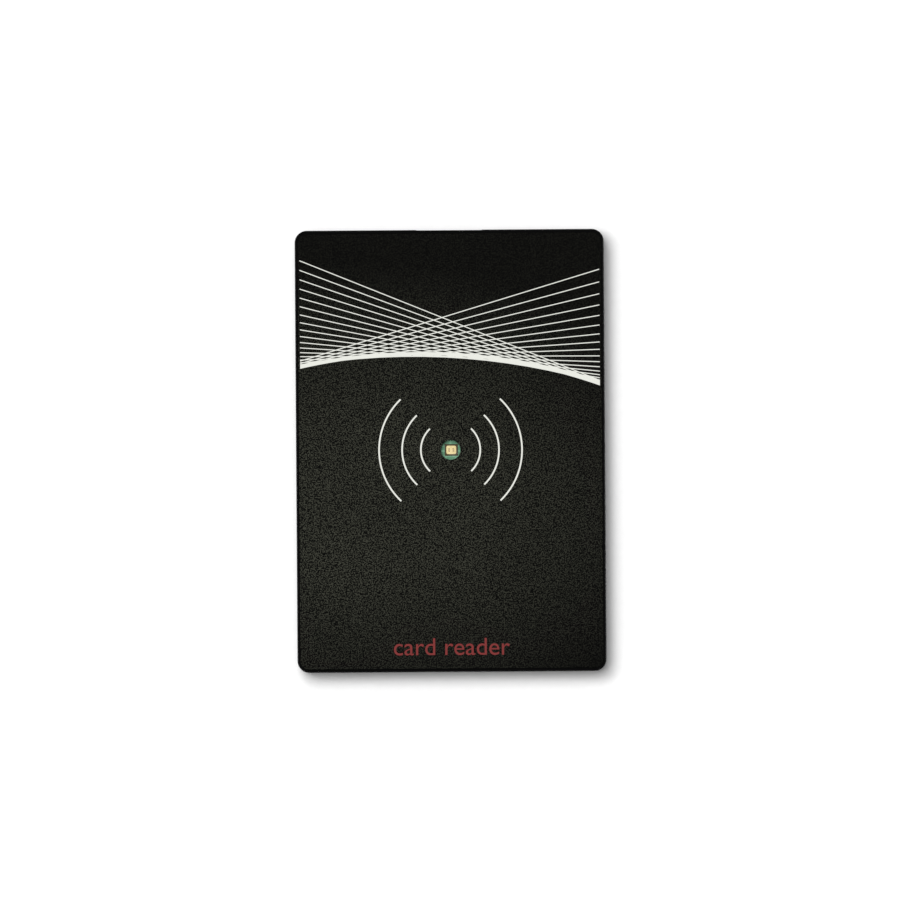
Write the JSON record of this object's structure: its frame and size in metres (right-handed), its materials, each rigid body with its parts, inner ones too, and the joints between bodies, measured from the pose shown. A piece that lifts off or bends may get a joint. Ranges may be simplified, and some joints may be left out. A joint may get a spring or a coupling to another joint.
{
  "type": "rfid card reader",
  "caption": "Flat rectangular desktop reader for contactless cards: screwed black plastic covers round a circuit board, with a printed face film, a status light window and a USB socket.",
  "frame": {"origin": "middle of the case's footprint, on the surface that the rubber feet stand on", "axes": "+Z out of the printed face, +Y along the reader towards the USB socket, +X across it to the right as seen with the face up and the socket end away"},
  "size_m": [0.0614, 0.088, 0.018],
  "materials": {
    "case_abs": "black moulded ABS with a fine spark texture",
    "face_film": "dark fine-grained printed polycarbonate film",
    "clear_window": "clear moulded polycarbonate",
    "blank_label": "plain white matt label",
    "foot_rubber": "black matt rubber",
    "black_screw_steel": "black zinc plated steel",
    "solder_mask": "green solder mask on glass-epoxy board",
    "enamelled_wire": "enamelled copper winding wire, bonded",
    "copper_track": "etched copper",
    "led_substrate": "light tan laminate base",
    "led_resin": "milky cream resin",
    "chip_resin": "black moulding resin",
    "crystal_can": "drawn nickel-plated steel",
    "sounder_plastic": "black thermoplastic",
    "ferrite": "dark ferrite with copper winding",
    "tantalum_resin": "yellow moulded resin",
    "capacitor_ceramic": "fired tan ceramic",
    "resistor_glaze": "black glass glaze",
    "tinned_shell": "tin-plated stamped steel",
    "socket_nylon": "black glass-filled nylon",
    "gold_contact": "gold-flashed spring bronze"
  },
  "bodies": {
    "root": {"top_cover": "case_abs", "bottom_cover": "case_abs", "face_overlay": "face_film", "led_window": "clear_window", "rating_label": "blank_label", "rubber_foot_1": "foot_rubber", "rubber_foot_2": "foot_rubber", "rubber_foot_3": "foot_rubber", "rubber_foot_4": "foot_rubber", "case_screw_1": "black_screw_steel", "case_screw_2": "black_screw_steel", "case_screw_3": "black_screw_steel", "case_screw_4": "black_screw_steel", "main_board": "solder_mask", "lf_antenna_coil": "enamelled_wire", "coil_lead_1": "enamelled_wire", "coil_lead_2": "enamelled_wire", "hf_antenna_loop": "copper_track", "status_led_base": "led_substrate", "status_led_lens": "led_resin", "microcontroller": "chip_resin", "lf_reader_chip": "chip_resin", "hf_reader_chip": "chip_resin", "esd_diode_array": "chip_resin", "voltage_regulator": "chip_resin", "microcontroller_crystal": "crystal_can", "hf_crystal": "crystal_can", "buzzer": "sounder_plastic", "filter_inductor_1": "ferrite", "filter_inductor_2": "ferrite", "tantalum_capacitor_1": "tantalum_resin", "tantalum_capacitor_2": "tantalum_resin", "chip_capacitor_1": "capacitor_ceramic", "chip_capacitor_2": "capacitor_ceramic", "chip_capacitor_3": "capacitor_ceramic", "chip_capacitor_4": "capacitor_ceramic", "chip_capacitor_5": "capacitor_ceramic", "chip_capacitor_6": "capacitor_ceramic", "chip_resistor_1": "resistor_glaze", "chip_resistor_2": "resistor_glaze", "chip_resistor_3": "resistor_glaze", "chip_resistor_4": "resistor_glaze", "usb_socket_shell": "tinned_shell", "usb_socket_insulator": "socket_nylon", "usb_contact_1": "gold_contact", "usb_contact_2": "gold_contact", "usb_contact_3": "gold_contact", "usb_contact_4": "gold_contact", "usb_contact_5": "gold_contact"}
  },
  "joints": []
}
